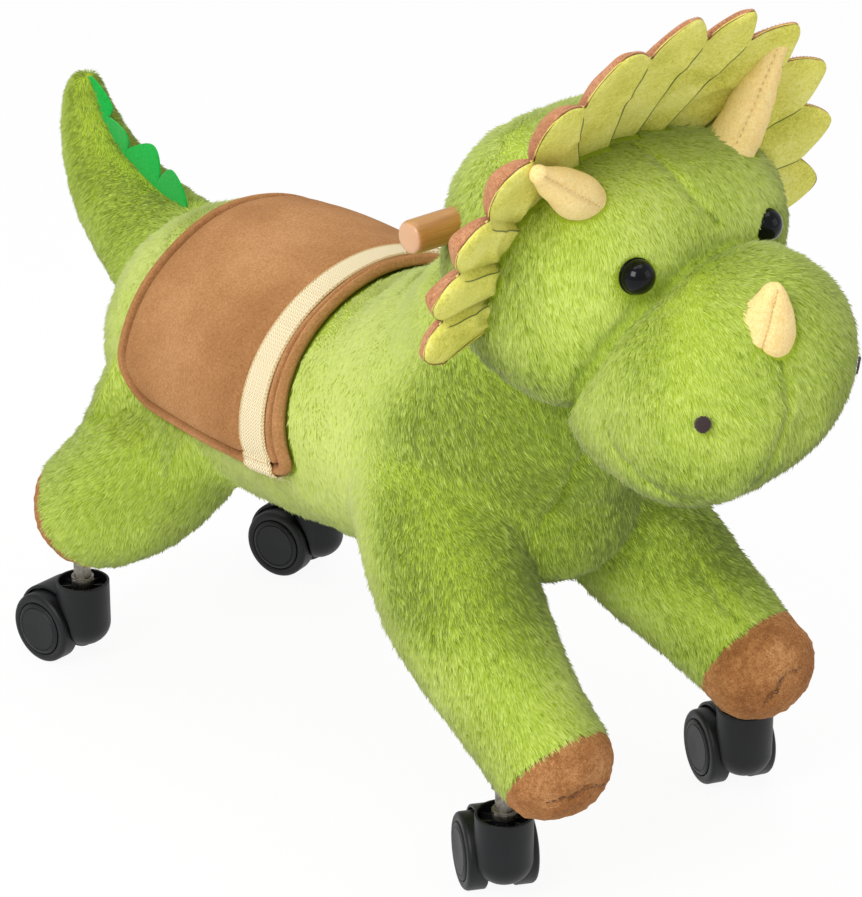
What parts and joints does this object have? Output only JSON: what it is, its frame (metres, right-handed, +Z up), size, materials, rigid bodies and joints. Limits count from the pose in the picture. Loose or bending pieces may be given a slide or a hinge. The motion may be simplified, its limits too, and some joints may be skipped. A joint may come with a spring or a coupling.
{
  "type": "ride-on plush dinosaur",
  "caption": "Stuffed triceratops to sit astride, with a saddle pad, a wooden handle bar through its neck and a swivelling twin-wheel caster under each foot.",
  "frame": {"origin": "on the floor, under the middle of the animal's length and on its centre plane", "axes": "+Z up, the animal looks along -Y, its left side is at +X"},
  "size_m": [0.3244, 0.7139, 0.5669],
  "materials": {
    "fur": "short green plush fur, about 8 mm pile",
    "velour": "tan short-pile velour",
    "frill_velour": "yellow-green velour with sewn pleats",
    "horn_plush": "cream-yellow short-pile velour",
    "felt": "bright green felt",
    "webbing": "cream woven herringbone webbing",
    "wood": "satin turned wood",
    "plywood": "raw plywood",
    "eye": "glossy black domed safety eye",
    "thread": "dark brown satin stitch",
    "caster_plastic": "satin black nylon",
    "steel": "zinc plated"
  },
  "bodies": {
    "root": {"torso": "fur", "head": "fur", "muzzle": "fur", "tail": "fur", "front_hoop": "steel", "rear_hoop": "steel", "seat_board": "plywood", "neck_post": "wood", "handle_bar": "wood", "brow_horn_right": "horn_plush", "brow_horn_left": "horn_plush", "nose_horn": "horn_plush", "frill_front": "frill_velour", "frill_back": "velour", "eye_right": "eye", "eye_left": "eye", "nostril_right": "thread", "nostril_left": "thread", "saddle_pad": "velour", "girth_strap": "webbing", "tail_crest": "felt", "front_right_leg": "fur", "front_right_paw": "velour", "front_right_stem": "steel", "front_left_leg": "fur", "front_left_paw": "velour", "front_left_stem": "steel", "rear_right_leg": "fur", "rear_right_paw": "velour", "rear_right_stem": "steel", "rear_left_leg": "fur", "rear_left_paw": "velour", "rear_left_stem": "steel"},
    "front_right_caster": {"front_right_housing": "caster_plastic", "front_right_axle": "steel"},
    "front_right_left_wheel": {"front_right_wheel_left": "caster_plastic", "front_right_wheel_cap_left": "caster_plastic"},
    "front_right_right_wheel": {"front_right_wheel_right": "caster_plastic", "front_right_wheel_cap_right": "caster_plastic"},
    "front_left_caster": {"front_left_housing": "caster_plastic", "front_left_axle": "steel"},
    "front_left_left_wheel": {"front_left_wheel_left": "caster_plastic", "front_left_wheel_cap_left": "caster_plastic"},
    "front_left_right_wheel": {"front_left_wheel_right": "caster_plastic", "front_left_wheel_cap_right": "caster_plastic"},
    "rear_right_caster": {"rear_right_housing": "caster_plastic", "rear_right_axle": "steel"},
    "rear_right_left_wheel": {"rear_right_wheel_left": "caster_plastic", "rear_right_wheel_cap_left": "caster_plastic"},
    "rear_right_right_wheel": {"rear_right_wheel_right": "caster_plastic", "rear_right_wheel_cap_right": "caster_plastic"},
    "rear_left_caster": {"rear_left_housing": "caster_plastic", "rear_left_axle": "steel"},
    "rear_left_left_wheel": {"rear_left_wheel_left": "caster_plastic", "rear_left_wheel_cap_left": "caster_plastic"},
    "rear_left_right_wheel": {"rear_left_wheel_right": "caster_plastic", "rear_left_wheel_cap_right": "caster_plastic"}
  },
  "joints": [
    {"name": "front_right_swivel", "type": "hinge", "parent": "root", "child": "front_right_caster", "pos_m": [-0.1055, -0.2128, 0.05], "axis": [0, 0, 1], "continuous": true},
    {"name": "front_right_left_wheel_spin", "type": "hinge", "parent": "front_right_caster", "child": "front_right_left_wheel", "pos_m": [-0.1093, -0.18586, 0.025], "axis": [-0.8829, 0.4695, 0], "continuous": true},
    {"name": "front_right_right_wheel_spin", "type": "hinge", "parent": "front_right_caster", "child": "front_right_right_wheel", "pos_m": [-0.08104, -0.20089, 0.025], "axis": [-0.8829, 0.4695, 0], "continuous": true},
    {"name": "front_left_swivel", "type": "hinge", "parent": "root", "child": "front_left_caster", "pos_m": [0.1055, -0.2128, 0.05], "axis": [0, 0, 1], "continuous": true},
    {"name": "front_left_left_wheel_spin", "type": "hinge", "parent": "front_left_caster", "child": "front_left_left_wheel", "pos_m": [0.09845, -0.18653, 0.025], "axis": [-0.9336, 0.3584, 0], "continuous": true},
    {"name": "front_left_right_wheel_spin", "type": "hinge", "parent": "front_left_caster", "child": "front_left_right_wheel", "pos_m": [0.12832, -0.198, 0.025], "axis": [-0.9336, 0.3584, 0], "continuous": true},
    {"name": "rear_right_swivel", "type": "hinge", "parent": "root", "child": "rear_right_caster", "pos_m": [-0.1055, 0.2212, 0.05], "axis": [0, 0, 1], "continuous": true},
    {"name": "rear_right_left_wheel_spin", "type": "hinge", "parent": "rear_right_caster", "child": "rear_right_left_wheel", "pos_m": [-0.12441, 0.24076, 0.025], "axis": [-0.9903, -0.1392, 0], "continuous": true},
    {"name": "rear_right_right_wheel_spin", "type": "hinge", "parent": "rear_right_caster", "child": "rear_right_right_wheel", "pos_m": [-0.09272, 0.24521, 0.025], "axis": [-0.9903, -0.1392, 0], "continuous": true},
    {"name": "rear_left_swivel", "type": "hinge", "parent": "root", "child": "rear_left_caster", "pos_m": [0.1055, 0.2212, 0.05], "axis": [0, 0, 1], "continuous": true},
    {"name": "rear_left_left_wheel_spin", "type": "hinge", "parent": "rear_left_caster", "child": "rear_left_left_wheel", "pos_m": [0.08377, 0.23756, 0.025], "axis": [-0.9563, -0.2924, 0], "continuous": true},
    {"name": "rear_left_right_wheel_spin", "type": "hinge", "parent": "rear_left_caster", "child": "rear_left_right_wheel", "pos_m": [0.11437, 0.24692, 0.025], "axis": [-0.9563, -0.2924, 0], "continuous": true}
  ]
}
